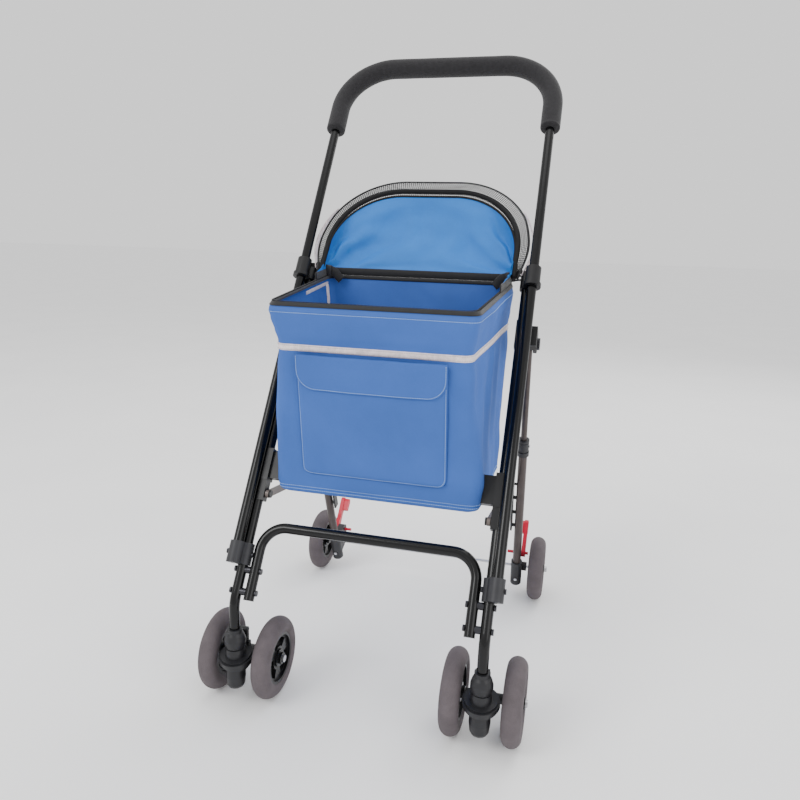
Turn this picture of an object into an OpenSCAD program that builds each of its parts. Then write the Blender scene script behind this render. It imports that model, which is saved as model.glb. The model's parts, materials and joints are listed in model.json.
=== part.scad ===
// Pet stroller: tube frame with a soft basket, folding rear legs and swivel casters.
// Frame: origin on the floor under the middle, front towards -Y, +X to one side, +Z up.

/* [Main tubes] */
// outer diameter of the frame tubes
tube_d = 16; // [12:0.5:22]
// tube wall thickness
tube_wall = 1.5; // [1:0.1:3]
// lean of the main tubes from vertical, in degrees
rake = 32.7074; // [25:0.0001:40]
// distance of the leg tube axis from the middle plane, at the elbow
leg_x = 190.5; // [150:0.5:230]
// height where the elbow of the front leg begins
elbow_c = 158; // [130:1:200]
// centreline radius of the elbow
elbow_r = 48; // [30:1:60]
// sideways offset from the leg tube to the handle tube
pair_dx = 9.5; // [6:0.1:14]
// forward offset from the leg tube to the handle tube
pair_dn = 15.4; // [14:0.1:22]

/* [Handle] */
// run of the handle crossbar along the tube line, from the elbow
bar_s = 1018; // [800:1:1100]
// centreline radius of the handle bends
bar_r = 96; // [60:1:120]
// start of the foam grip along the tube line
grip_s = 870; // [700:1:950]
// outer diameter of the foam grip
grip_d = 35; // [26:0.5:40]

/* [Wheels] */
// outer diameter of all six wheels
wheel_d = 127; // [90:1:180]
// width of a tyre
tyre_w = 30; // [20:1:40]
// hub seat diameter inside the tyre
hub_d = 80; // [70:1:90]
// wheel axle diameter
axle_d = 6; // [5:0.5:10]
// distance of a front wheel from its swivel axis, sideways
twin_dx = 44.6; // [35:0.1:60]
// trail of the front axle behind the swivel axis
trail = 42; // [25:1:55]
// distance of a rear wheel from the middle plane
rear_x = 233.5; // [200:0.5:260]
// rear axle distance behind the swivel axis
rear_y = 494; // [400:1:560]

/* [Rear legs] */
// pivot height of the rear legs
pivot_z = 555; // [450:1:620]
// pivot distance behind the swivel axis
pivot_y = 290; // [240:1:330]
// pivot distance from the middle plane
pivot_x = 202.5; // [190:0.5:215]
// slope of the rear legs from vertical, in degrees
leg_rake = 20; // [10:0.5:30]
// diameter of the upper link tube
link_d = 11; // [8:0.5:14]
// distance from the pivot to the sleeve
sleeve_r = 192; // [120:1:260]
// distance from the pivot to the brace pin
brace_r = 298; // [260:1:330]

/* [Basket] */
// height of the basket underside
basket_z = 325; // [280:1:380]
// height of the basket rim at the front
rim_z = 622; // [520:1:680]
// height of the basket rim at the back
rim_back_z = 648; // [520:1:700]
// half width of the basket at the front
basket_hw = 154; // [120:1:165]
// thickness of the padded fabric walls
cloth_t = 5; // [3:0.5:10]

/* [Hidden] */
yc = (trail + rear_y)/2;
wr = wheel_d/2;
tr = tube_d/2;
ti = tr - tube_wall;
fit = 0.05;
tan_e = elbow_r*tan(rake/2);
elbow_z = elbow_c + tan_e;
handle_x = leg_x + pair_dx;
bend_cs = bar_s - bar_r;
bend_cx = handle_x - bar_r;
clamp_s = 57;
clamp_l = 33;
leg_len = 560;
foot_x = 168.5;
foot_bar_s = 121;
foot_r = 38;
bolt_s1 = 18;
bolt_s2 = 50.5;
up_s = 560;
lr_lean = 0.9;
leg_end = 545;
q_y = pivot_y + brace_r*sin(leg_rake);
q_z = pivot_z - brace_r*cos(leg_rake);
fit_s = 171;
fb_y = fit_s*sin(rake);
fb_z = elbow_z + fit_s*cos(rake);
brace_ang = atan2(fb_z - q_z, q_y - fb_y);
brace_len = sqrt((q_y - fb_y)*(q_y - fb_y) + (fb_z - q_z)*(fb_z - q_z));
brace_x = 176;
cast_z = 98;
pin_z = 52;
brk_y = 500;
brk_z = 90;
slot_h = 3.9;
hood_y = 300;
hood_z = 660;
hood_x = 168;
hood_tilt = 38;
hood_h = 180;
hood_br = 120;
piv_s = pivot_y*sin(rake) + (pivot_z - elbow_z)*cos(rake);
foot_x0 = pivot_x - leg_end*sin(lr_lean);
front_y0 = 91;
front_y1 = 47;
back_y0 = 318;
back_y1 = 334;
basket_r = 26;
face_t = atan2(front_y0 - 2 - front_y1, rim_z - 1 - basket_z - 16);

/* placement helpers: the working frame has y = 0 at the swivel axis */

module place() {
  translate([0, -yc, 0])
  children();
}

module both() {
  children();
  mirror([1, 0, 0])
  children();
}

// plane of the handle tube: x across, y along the tube line, z to the front
module rake_plane(n) {
  translate([0, 0, elbow_z])
  rotate([90 - rake, 0, 0])
  translate([0, 0, n])
  children();
}

// frame of the leg tube: z up along the tube, y to the back
module on_tube(s) {
  translate([leg_x, 0, elbow_z])
  rotate([-rake, 0, 0])
  translate([0, 0, s])
  children();
}

// frame of the rear leg: origin at the pivot, z up along the leg
module on_leg(r) {
  translate([pivot_x, pivot_y, pivot_z])
  rotate([leg_rake, 0, 0])
  rotate([0, lr_lean, 0])
  translate([0, 0, -r])
  children();
}

// turns a drawing in the xy plane into the yz plane, extruded along +x
module yz() {
  rotate([0, 0, 90])
  rotate([90, 0, 0])
  children();
}

module xcyl(r, l) {
  rotate([0, 90, 0])
  cylinder(h = l, r = r, $fn = 48);
}

module ring(ro, ri, h) {
  difference() {
    cylinder(h = h, r = ro, $fn = 64);
    translate([0, 0, -1])
    cylinder(h = h + 2, r = ri, $fn = 64);
  }
}

/* handle */

module u_half(ro, s0) {
  translate([handle_x, s0, 0])
  rotate([-90, 0, 0])
  cylinder(h = bend_cs - s0, r = ro, $fn = 64);
  translate([bend_cx, bend_cs, 0])
  rotate_extrude(angle = 90, $fn = 96)
  translate([bar_r, 0])
  circle(r = ro, $fn = 64);
}

module u_shape(ro, s0) {
  both()
  u_half(ro, s0);
  translate([-bend_cx, bar_s, 0])
  rotate([0, 90, 0])
  cylinder(h = 2*bend_cx, r = ro, $fn = 64);
}

module handle_tube() {
  color([0.05, 0.05, 0.06])
  place()
  rake_plane(pair_dn)
  difference() {
    u_shape(tr, clamp_s + 4);
    u_shape(ti, clamp_s + 2);
  }
}

module foam_grip() {
  color([0.2, 0.2, 0.21])
  place()
  rake_plane(pair_dn)
  difference() {
    u_shape(grip_d/2, grip_s);
    u_shape(tr, grip_s - 3);
  }
}

/* front legs */

module leg_solid(r, z0, l) {
  translate([leg_x, elbow_r, elbow_c])
  yz() {
    translate([-elbow_r, 0, 0])
    rotate([90, 0, 0])
    cylinder(h = elbow_c - z0, r = r, $fn = 64);
    rotate([0, 0, 180 - rake]) {
      rotate_extrude(angle = rake, $fn = 96)
      translate([elbow_r, 0])
      circle(r = r, $fn = 64);
      translate([elbow_r, 0, 0])
      rotate([-90, 0, 0])
      mirror([0, 0, 1])
      cylinder(h = l, r = r, $fn = 64);
    }
  }
}

module bolt_axis(s) {
  translate([foot_x, s*sin(rake), elbow_z + s*cos(rake)])
  children();
}

module front_leg() {
  difference() {
    leg_solid(tr, 106, leg_len);
    leg_solid(ti, 105, leg_len + 1);
    bolt_axis(bolt_s1)
    xcyl(2.5 + fit, 50);
    bolt_axis(bolt_s2)
    xcyl(2.5 + fit, 50);
  }
}

module front_leg_right() {
  color([0.05, 0.05, 0.06])
  place()
  front_leg();
}

module front_leg_left() {
  color([0.05, 0.05, 0.06])
  place()
  mirror([1, 0, 0])
  front_leg();
}

/* clamp joining handle tube and leg tube */

module clamp_half() {
  on_tube(clamp_s)
  difference() {
    union() {
      cylinder(h = clamp_l, r = 11.5, $fn = 64);
      translate([pair_dx, -pair_dn, 0])
      cylinder(h = clamp_l, r = 11.5, $fn = 64);
      translate([pair_dx/2, -pair_dn/2, clamp_l/2])
      rotate([0, 0, -58])
      cube([9, 19, clamp_l - 2], center = true);
    }
    translate([0, 0, -1])
    cylinder(h = clamp_l + 2, r = tr + fit, $fn = 64);
    translate([pair_dx, -pair_dn, 4])
    cylinder(h = clamp_l + 2, r = tr + fit, $fn = 64);
    translate([-16, 0, clamp_l/2])
    xcyl(1.8, 9);
    translate([pair_dx + 7, -pair_dn, clamp_l/2])
    xcyl(1.8, 9);
  }
}

module clamp_right() {
  color([0.24, 0.24, 0.26])
  place()
  clamp_half();
}

module clamp_left() {
  color([0.24, 0.24, 0.26])
  place()
  mirror([1, 0, 0])
  clamp_half();
}

module screw_head() {
  cylinder(h = 2.3, r = 4, $fn = 48);
  translate([0, 0, -3.2])
  cylinder(h = 3.3, r = 1.75, $fn = 32);
}

module clamp_screws() {
  color([0.15, 0.15, 0.16])
  place()
  both()
  on_tube(clamp_s + clamp_l/2) {
    translate([-11.55, 0, 0])
    rotate([0, -90, 0])
    screw_head();
    translate([pair_dx + 11.55, -pair_dn, 0])
    rotate([0, 90, 0])
    screw_head();
  }
}

/* footrest */

module foot_half(r, s0) {
  translate([foot_x, s0, 0])
  rotate([-90, 0, 0])
  cylinder(h = foot_bar_s - foot_r - s0, r = r, $fn = 64);
  translate([foot_x - foot_r, foot_bar_s - foot_r, 0])
  rotate_extrude(angle = 90, $fn = 96)
  translate([foot_r, 0])
  circle(r = r, $fn = 64);
}

module foot_u(r, s0) {
  both()
  foot_half(r, s0);
  translate([foot_r - foot_x, foot_bar_s, 0])
  rotate([0, 90, 0])
  cylinder(h = 2*(foot_x - foot_r), r = r, $fn = 64);
}

module footrest_bar() {
  color([0.05, 0.05, 0.06])
  place()
  difference() {
    rake_plane(0)
    foot_u(tr, 6);
    rake_plane(0)
    foot_u(ti, 9);
    both()
    bolt_axis(bolt_s1)
    translate([-10, 0, 0])
    xcyl(2.5 + fit, 20);
    both()
    bolt_axis(bolt_s2)
    translate([-10, 0, 0])
    xcyl(2.5 + fit, 20);
  }
}

module foot_bolt(s) {
  bolt_axis(s) {
    translate([-tr - 3, 0, 0])
    xcyl(4.5, 3);
    translate([-tr - 1, 0, 0])
    xcyl(2.5, 40);
    translate([30.1, 0, 0])
    xcyl(4.5, 3);
  }
}

module foot_spacer(s) {
  difference() {
    bolt_axis(s)
    translate([6, 0, 0])
    xcyl(5.5, 9.5);
    rake_plane(0)
    foot_half(tr + 0.02, 6);
    leg_solid(tr + 0.02, 106, 200);
  }
}

module footrest_bolts() {
  color([0.16, 0.16, 0.17])
  place()
  both() {
    foot_bolt(bolt_s1);
    foot_bolt(bolt_s2);
    foot_spacer(bolt_s1);
    foot_spacer(bolt_s2);
  }
}

/* upper brackets */

module upper_bracket() {
  on_tube(up_s)
  difference() {
    union() {
      translate([pair_dx, -pair_dn, -5])
      cylinder(h = 6, r = 14.5, $fn = 64);
      translate([pair_dx, -pair_dn, 0])
      cylinder(h = 30, r = 12.4, $fn = 64);
      translate([-8, -6, 14.6])
      cube([14, 14, 15]);
      translate([0, 0, -3.4])
      cylinder(h = 22.6, r = 11.2, $fn = 64);
    }
    translate([pair_dx, -pair_dn, -8])
    cylinder(h = 42, r = tr + fit, $fn = 64);
    translate([0, 0, -7])
    cylinder(h = 21.5, r = tr + fit, $fn = 64);
  }
}

module upper_bracket_right() {
  color([0.1, 0.1, 0.11])
  place()
  upper_bracket();
}

module upper_bracket_left() {
  color([0.1, 0.1, 0.11])
  place()
  mirror([1, 0, 0])
  upper_bracket();
}

/* rear leg pivot brackets, riveted to the back of the leg tube */

module pivot_bracket() {
  difference() {
    union() {
      on_tube(piv_s - 24)
      translate([-9.5, 0.5, 0])
      cube([19, 15, 48]);
      translate([pivot_x - 13, pivot_y, pivot_z])
      xcyl(14, 26);
      on_tube(piv_s - 17)
      translate([-1, 6, 0])
      cube([26, 31, 34]);
    }
    on_tube(piv_s - 30)
    cylinder(h = 60, r = tr + fit, $fn = 64);
    translate([pivot_x - 7.3, pivot_y, pivot_z])
    xcyl(20, 14.6);
    translate([pivot_x - 7.3, pivot_y - 19, pivot_z - 60])
    cube([14.6, 70, 60]);
    translate([pivot_x - 30, pivot_y, pivot_z])
    xcyl(4 + fit, 60);
  }
}

module pivot_bracket_right() {
  color([0.1, 0.1, 0.11])
  place()
  pivot_bracket();
}

module pivot_bracket_left() {
  color([0.1, 0.1, 0.11])
  place()
  mirror([1, 0, 0])
  pivot_bracket();
}

module pivot_pins() {
  color([0.35, 0.35, 0.36])
  place()
  both()
  translate([pivot_x, pivot_y, pivot_z]) {
    translate([-14, 0, 0])
    xcyl(4, 28);
    translate([13.1, 0, 0])
    xcyl(10, 4);
    translate([-16, 0, 0])
    xcyl(6, 2.9);
  }
}

/* basket supports and brace fittings on the inner side of the leg tubes */

module side_bracket() {
  difference() {
    union() {
      on_tube(192)
      translate([-11, -9, 0])
      cube([11, 22, 52]);
      on_tube(196)
      translate([-33, -4, 0])
      cube([26, 14, 44]);
      on_tube(fit_s - 12)
      translate([-11, -8, 0])
      cube([11, 16, 40]);
      translate([brace_x + 3.4, fb_y, fb_z])
      xcyl(8, 10);
      translate([brace_x - 5.5, fb_y, fb_z])
      xcyl(3, 12);
      translate([brace_x - 5.5, fb_y, fb_z])
      xcyl(6, 2.2);
    }
    on_tube(140)
    cylinder(h = 140, r = tr + fit, $fn = 64);
  }
}

module side_bracket_right() {
  color([0.1, 0.1, 0.11])
  place()
  side_bracket();
}

module side_bracket_left() {
  color([0.1, 0.1, 0.11])
  place()
  mirror([1, 0, 0])
  side_bracket();
}

/* basket: an open padded box, wider at the rim */

module slab(hw0, hw1, ya, yb, za, zb, r, t) {
  hull() {
    translate([hw0 - r, ya + r, za])
    cylinder(h = t, r = r, $fn = 32);
    translate([-hw0 + r, ya + r, za])
    cylinder(h = t, r = r, $fn = 32);
    translate([hw1 - r, yb - r, zb])
    cylinder(h = t, r = r, $fn = 32);
    translate([-hw1 + r, yb - r, zb])
    cylinder(h = t, r = r, $fn = 32);
  }
}

module basket_solid(g, z_lo, cut) {
  hull() {
    slab(basket_hw - 6 - g, 160 - g, front_y0 + 6 + g, back_y0 - 4 - g, z_lo, z_lo, basket_r, 1);
    slab(basket_hw - g, 165 - g, front_y0 - 2 + g, back_y0 - g, z_lo + 16, z_lo + 16, basket_r, 1);
    slab(basket_hw - g, 168 - g, front_y1 + g, back_y1 - g, rim_z - 1 + cut, rim_back_z - 1 + cut, basket_r, 1);
  }
}

module basket_shell() {
  color([0.33, 0.48, 0.75])
  place()
  difference() {
    basket_solid(0, basket_z, 0);
    basket_solid(cloth_t, basket_z + cloth_t, 4);
  }
}

module basket_floor() {
  color([0.2, 0.2, 0.22])
  place()
  translate([0, 0, basket_z + cloth_t + 0.4])
  linear_extrude(4)
  difference() {
    translate([-134, front_y0 + 20])
    square([268, 194]);
    translate([-134, front_y0 + 20])
    square([14, 14]);
    translate([120, front_y0 + 20])
    square([14, 14]);
  }
}

module rim_slab(g, z0, t) {
  slab(basket_hw - g, 168 - g, front_y1 + g, back_y1 - g, rim_z + z0, rim_back_z + z0, basket_r - g/2, t);
}

module basket_rim() {
  color([0.06, 0.06, 0.07])
  place() {
    difference() {
      rim_slab(-1.5, 0.5, 8);
      rim_slab(cloth_t + 1, -8, 26);
      basket_solid(-0.1, basket_z, 0.1);
      both()
      translate([hood_x - 3.3, hood_y, hood_z])
      xcyl(6.7, 9);
    }
    both() {
      translate([hood_x + 3.2, hood_y - 7, hood_z - 22])
      cube([3.2, 14, 30]);
      translate([hood_x - 4, hood_y, hood_z])
      xcyl(2.5, 9);
      translate([hood_x - 4.5, hood_y, hood_z])
      xcyl(4.5, 1.4);
    }
  }
}

/* pocket on the front face */

module on_face(z) {
  translate([0, front_y0 - 2, basket_z + 16])
  rotate([face_t, 0, 0])
  translate([0, 0, z])
  children();
}

module pocket_body() {
  color([0.32, 0.46, 0.72])
  place()
  on_face(20)
  translate([-113, -5.05, 0])
  cube([226, 5, 188]);
}

module pocket_flap() {
  color([0.35, 0.5, 0.77])
  place() {
    on_face(160)
    translate([0, -6, 0])
    rotate([90, 0, 0])
    linear_extrude(2.4)
    hull() {
      translate([-113, 46])
      square([226, 8]);
      translate([-91, 22])
      circle(r = 22, $fn = 48);
      translate([91, 22])
      circle(r = 22, $fn = 48);
    }
  }
}

/* hood: a wire bow folded back with its panel */

module hood_frame() {
  translate([0, hood_y, hood_z])
  rotate([-hood_tilt, 0, 0])
  children();
}

module bow_shape(r) {
  both() {
    translate([hood_x, 0, 0])
    cylinder(h = hood_h - hood_br, r = r, $fn = 48);
    translate([hood_x - hood_br, 0, hood_h - hood_br])
    rotate([90, 0, 0])
    rotate_extrude(angle = 90, $fn = 96)
    translate([hood_br, 0])
    circle(r = r, $fn = 48);
  }
  translate([hood_br - hood_x, 0, hood_h])
  rotate([0, 90, 0])
  cylinder(h = 2*(hood_x - hood_br), r = r, $fn = 48);
}

module hood_bow() {
  color([0.08, 0.08, 0.09])
  place()
  hood_frame()
  difference() {
    union() {
      bow_shape(3);
      both()
      translate([hood_x - 2.6, 0, 0])
      xcyl(6, 5);
    }
    translate([-hood_x - 10, 0, 0])
    xcyl(2.5 + fit, 2*hood_x + 20);
  }
}

module hood_panel() {
  color([0.3, 0.58, 0.85])
  place()
  hood_frame()
  translate([0, 8, 0])
  rotate([90, 0, 0])
  linear_extrude(5)
  difference() {
    hull() {
      translate([-hood_x + 8, 12])
      square([2*hood_x - 16, 4]);
      translate([hood_br - hood_x, hood_h - hood_br])
      circle(r = hood_br - 1, $fn = 64);
      translate([hood_x - hood_br, hood_h - hood_br])
      circle(r = hood_br - 1, $fn = 64);
    }
    translate([-hood_x, -hood_h])
    square([2*hood_x, hood_h + 12]);
  }
}

/* casters */

module caster_cup() {
  difference() {
    translate([leg_x, 0, 0])
    rotate_extrude($fn = 96)
    polygon([
      [0, cast_z], [13, cast_z], [15, cast_z + 2], [16.5, cast_z + 8], [16.5, cast_z + 14],
      [14, cast_z + 22], [11.5, cast_z + 26], [11.5, cast_z + 32], [0, cast_z + 32]
    ]);
    translate([leg_x, 0, 105.5])
    cylinder(h = 40, r = tr + fit, $fn = 64);
  }
  translate([leg_x, 0, pin_z])
  cylinder(h = cast_z - pin_z + 1, r = 5, $fn = 64);
}

module caster_cup_right() {
  color([0.2, 0.2, 0.22])
  place()
  caster_cup();
}

module caster_cup_left() {
  color([0.2, 0.2, 0.22])
  place()
  mirror([1, 0, 0])
  caster_cup();
}

module caster_body() {
  difference() {
    union() {
      rotate_extrude($fn = 96)
      polygon([
        [0, 31], [8, 31], [12, 33], [14, 37], [14.8, 44], [15.5, 50], [15.5, 92],
        [14, cast_z - 0.4], [0, cast_z - 0.4]
      ]);
      translate([0, 3, 80])
      rotate([12, 0, 0]) {
        translate([0, 0, -13])
        cylinder(h = 6, r = 21, $fn = 96);
        translate([0, 0, -8])
        cylinder(h = 6, r = 24.5, $fn = 96);
        translate([0, 0, -3])
        cylinder(h = 7, r = 27, $fn = 96);
        translate([0, 0, 3])
        cylinder(h = 4, r = 24, $fn = 96);
      }
      translate([-9, 0, 50])
      cube([18, trail, 27]);
      translate([-9, trail, wr])
      xcyl(13.5, 18);
      translate([-28.5, trail, wr])
      xcyl(7.5, 57);
      translate([-11, 21, 76])
      cube([22, 9, 12]);
    }
    translate([0, 0, pin_z - 2])
    cylinder(h = 60, r = 5 + fit, $fn = 64);
    translate([-40, trail, wr])
    xcyl(axle_d/2 + fit, 80);
    translate([-8.2, 17.5, 86])
    cube([16.4, 18, 30]);
    translate([-12, 27, 92])
    xcyl(8.6, 24);
    translate([-14, 27, 92])
    xcyl(2 + fit, 28);
  }
  translate([-10.9, 27, 92])
  xcyl(2, 21.8);
  both()
  translate([8.4, 23, 82])
  cube([2.6, 8, 12]);
}

module caster_body_right() {
  color([0.22, 0.22, 0.24])
  place()
  translate([leg_x, 0, 0])
  caster_body();
}

module caster_body_left() {
  color([0.22, 0.22, 0.24])
  place()
  translate([-leg_x, 0, 0])
  caster_body();
}

module caster_axle() {
  translate([-63.4, trail, wr]) {
    xcyl(axle_d/2, 126.8);
    xcyl(5.5, 3);
    translate([123.8, 0, 0])
    xcyl(5.5, 3);
  }
}

module caster_axle_right() {
  color([0.75, 0.75, 0.77])
  place()
  translate([leg_x, 0, 0])
  caster_axle();
}

module caster_axle_left() {
  color([0.75, 0.75, 0.77])
  place()
  translate([-leg_x, 0, 0])
  caster_axle();
}

module swivel_lock() {
  difference() {
    union() {
      translate([-7.6, 27, 92])
      xcyl(5, 15.2);
      translate([-7.6, 25, 92])
      cube([15.2, 6.5, 24]);
      translate([-7.6, 28, 112])
      xcyl(4.5, 15.2);
    }
    translate([-9, 27, 92])
    xcyl(2 + fit, 18);
  }
}

module swivel_lock_right() {
  color([0.13, 0.13, 0.14])
  place()
  translate([leg_x, 0, 0])
  swivel_lock();
}

module swivel_lock_left() {
  color([0.13, 0.13, 0.14])
  place()
  translate([-leg_x, 0, 0])
  swivel_lock();
}

/* wheels, drawn on the x axis at the origin */

module tyre() {
  rotate([0, 90, 0])
  rotate_extrude($fn = 128)
  difference() {
    union() {
      translate([wr - tyre_w/2, 0])
      circle(r = tyre_w/2, $fn = 64);
      translate([hub_d/2, -12])
      square([10, 24]);
    }
    translate([0, -20])
    square([hub_d/2, 40]);
  }
}

module hub() {
  rotate([0, 90, 0])
  difference() {
    union() {
      translate([0, 0, -12])
      ring(hub_d/2, hub_d/2 - 4, 24);
      translate([0, 0, -8])
      cylinder(h = 16, r = hub_d/2 - 3, $fn = 96);
      translate([0, 0, -15.4])
      cylinder(h = 30.8, r = 9, $fn = 64);
      translate([0, 0, -11])
      cylinder(h = 22, r = 14, $fn = 64);
    }
    for (a = [12, 132, 252])
    rotate([0, 0, a])
    translate([0, 0, -9])
    rotate_extrude(angle = 80, $fn = 96)
    translate([18, 0])
    square([hub_d/2 - 26, 18]);
    translate([0, 0, -20])
    cylinder(h = 40, r = axle_d/2 + fit, $fn = 64);
  }
}

module tyre_right_outer() {
  color([0.43, 0.41, 0.42])
  place()
  translate([leg_x + twin_dx, trail, wr])
  tyre();
}

module tyre_right_inner() {
  color([0.43, 0.41, 0.42])
  place()
  translate([leg_x - twin_dx, trail, wr])
  tyre();
}

module tyre_left_inner() {
  color([0.43, 0.41, 0.42])
  place()
  translate([-leg_x + twin_dx, trail, wr])
  tyre();
}

module tyre_left_outer() {
  color([0.43, 0.41, 0.42])
  place()
  translate([-leg_x - twin_dx, trail, wr])
  tyre();
}

module hub_right_outer() {
  color([0.07, 0.07, 0.08])
  place()
  translate([leg_x + twin_dx, trail, wr])
  hub();
}

module hub_right_inner() {
  color([0.07, 0.07, 0.08])
  place()
  translate([leg_x - twin_dx, trail, wr])
  hub();
}

module hub_left_inner() {
  color([0.07, 0.07, 0.08])
  place()
  translate([-leg_x + twin_dx, trail, wr])
  hub();
}

module hub_left_outer() {
  color([0.07, 0.07, 0.08])
  place()
  translate([-leg_x - twin_dx, trail, wr])
  hub();
}

module rear_tyre_right() {
  color([0.43, 0.41, 0.42])
  place()
  translate([rear_x, rear_y, wr])
  tyre();
}

module rear_tyre_left() {
  color([0.43, 0.41, 0.42])
  place()
  translate([-rear_x, rear_y, wr])
  tyre();
}

module rear_hub_right() {
  color([0.07, 0.07, 0.08])
  place()
  translate([rear_x, rear_y, wr])
  hub();
}

module rear_hub_left() {
  color([0.07, 0.07, 0.08])
  place()
  translate([-rear_x, rear_y, wr])
  hub();
}

/* rear legs */

module upper_link() {
  difference() {
    on_leg(sleeve_r + 24)
    cylinder(h = sleeve_r + 33, r = link_d/2, $fn = 64);
    on_leg(sleeve_r + 25)
    cylinder(h = sleeve_r, r = link_d/2 - tube_wall, $fn = 48);
    translate([pivot_x - 20, pivot_y, pivot_z])
    xcyl(4 + fit, 40);
  }
}

module upper_link_right() {
  color([0.3, 0.29, 0.28])
  place()
  upper_link();
}

module upper_link_left() {
  color([0.3, 0.29, 0.28])
  place()
  mirror([1, 0, 0])
  upper_link();
}

module sleeve() {
  on_leg(sleeve_r + 36)
  difference() {
    union() {
      cylinder(h = 9, r = 10.8, $fn = 64);
      cylinder(h = 34, r = 9.2, $fn = 64);
      translate([0, 0, 12])
      cylinder(h = 16, r = 10, $fn = 64);
      translate([0, 0, 30])
      cylinder(h = 4, r = 10.2, $fn = 64);
    }
    translate([0, 0, -1])
    cylinder(h = 12, r = tr + fit, $fn = 64);
    translate([0, 0, 10])
    cylinder(h = 30, r = link_d/2 + fit, $fn = 64);
  }
}

module sleeve_right() {
  color([0.2, 0.2, 0.21])
  place()
  sleeve();
}

module sleeve_left() {
  color([0.2, 0.2, 0.21])
  place()
  mirror([1, 0, 0])
  sleeve();
}

module rear_leg() {
  difference() {
    on_leg(leg_end)
    cylinder(h = leg_end - sleeve_r - 26, r = tr, $fn = 64);
    on_leg(leg_end + 1)
    cylinder(h = leg_end, r = ti, $fn = 64);
  }
}

module rear_leg_right() {
  color([0.33, 0.31, 0.3])
  place()
  rear_leg();
}

module rear_leg_left() {
  color([0.33, 0.31, 0.3])
  place()
  mirror([1, 0, 0])
  rear_leg();
}

module foot_bracket() {
  difference() {
    union() {
      on_leg(leg_end + 9)
      cylinder(h = 58, r = 11, $fn = 64);
      translate([foot_x0 - 8, 0, 0])
      yz()
      linear_extrude(13)
      polygon([
        [466, 40], [480, 44], [504, 56], [509, 66], [511, 86], [508, 97], [498, 101],
        [470, 94], [462, 80]
      ]);
      translate([foot_x0 - 8, rear_y, wr])
      xcyl(9, 27);
    }
    on_leg(leg_end + 0.5)
    cylinder(h = 80, r = tr + fit, $fn = 64);
    translate([foot_x0 - 30, rear_y, wr])
    xcyl(axle_d/2 + fit, 80);
    translate([foot_x0 - 30, brk_y, brk_z])
    xcyl(3 + fit, 60);
    on_leg(leg_end - 8)
    translate([0, -12, 0])
    rotate([-90, 0, 0])
    cylinder(h = 3.5, r = 1.8, $fn = 32);
  }
}

module foot_bracket_right() {
  color([0.27, 0.26, 0.27])
  place()
  foot_bracket();
}

module foot_bracket_left() {
  color([0.27, 0.26, 0.27])
  place()
  mirror([1, 0, 0])
  foot_bracket();
}

module axle_rod() {
  color([0.7, 0.7, 0.72])
  place()
  translate([-rear_x - 19, rear_y, wr])
  xcyl(axle_d/2, 2*rear_x + 38);
}

module axle_nuts() {
  color([0.78, 0.78, 0.8])
  place()
  both()
  translate([rear_x + 16, rear_y, wr])
  difference() {
    xcyl(5.5, 5);
    translate([-1, 0, 0])
    xcyl(axle_d/2, 4);
  }
}

module catch_pin(r) {
  on_leg(r)
  translate([-tr - 5.6, 0, 0])
  xcyl(3.5, 8);
}

module leg_catch() {
  difference() {
    union() {
      catch_pin(brace_r + 33);
      catch_pin(brace_r + 69);
      catch_pin(brace_r + 102);
      on_leg(brace_r + 112)
      translate([-tr - 8, -7, 0])
      cube([3.4, 14, 120]);
      translate([brace_x - 5.5, q_y, q_z])
      xcyl(2.5, 22);
      translate([brace_x - 5.5, q_y, q_z])
      xcyl(5.5, 2.2);
    }
    on_leg(leg_end)
    cylinder(h = leg_end - sleeve_r - 26, r = tr + 0.02, $fn = 64);
  }
}

module leg_catch_right() {
  color([0.12, 0.12, 0.13])
  place()
  leg_catch();
}

module leg_catch_left() {
  color([0.12, 0.12, 0.13])
  place()
  mirror([1, 0, 0])
  leg_catch();
}

module leg_rivets() {
  color([0.5, 0.5, 0.52])
  place()
  both() {
    on_leg(sleeve_r + 16)
    translate([10, 0, 0])
    xcyl(2.6, 1.6);
    on_leg(sleeve_r + 16)
    translate([-11.6, 0, 0])
    xcyl(2.6, 1.6);
    on_leg(leg_end - 8)
    translate([0, -12.75, 0])
    rotate([-90, 0, 0])
    cylinder(h = 1.7, r = 3, $fn = 32);
    on_leg(leg_end - 8)
    translate([0, -11.5, 0])
    rotate([-90, 0, 0])
    cylinder(h = 3, r = 1.75, $fn = 32);
  }
}

/* slotted brace bars: hinged at the front, sliding on a pin of the rear leg */

module brace() {
  translate([brace_x - 2.6, fb_y, fb_z])
  rotate([-brace_ang, 0, 0])
  yz()
  linear_extrude(5.2)
  difference() {
    union() {
      circle(r = 6.5, $fn = 48);
      translate([0, -5.5])
      square([136, 11]);
      translate([134, -7.5])
      square([brace_len - 134, 15]);
      translate([brace_len, 0])
      circle(r = 7.5, $fn = 48);
    }
    circle(r = 3 + fit, $fn = 48);
    translate([146, -slot_h])
    square([brace_len - 146 + 1, 2*slot_h]);
    translate([146, 0])
    circle(r = slot_h, $fn = 48);
    translate([brace_len, 0])
    circle(r = slot_h, $fn = 48);
  }
}

module brace_right() {
  color([0.45, 0.43, 0.42])
  place()
  brace();
}

module brace_left() {
  color([0.45, 0.43, 0.42])
  place()
  mirror([1, 0, 0])
  brace();
}

/* parking brake levers */

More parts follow.
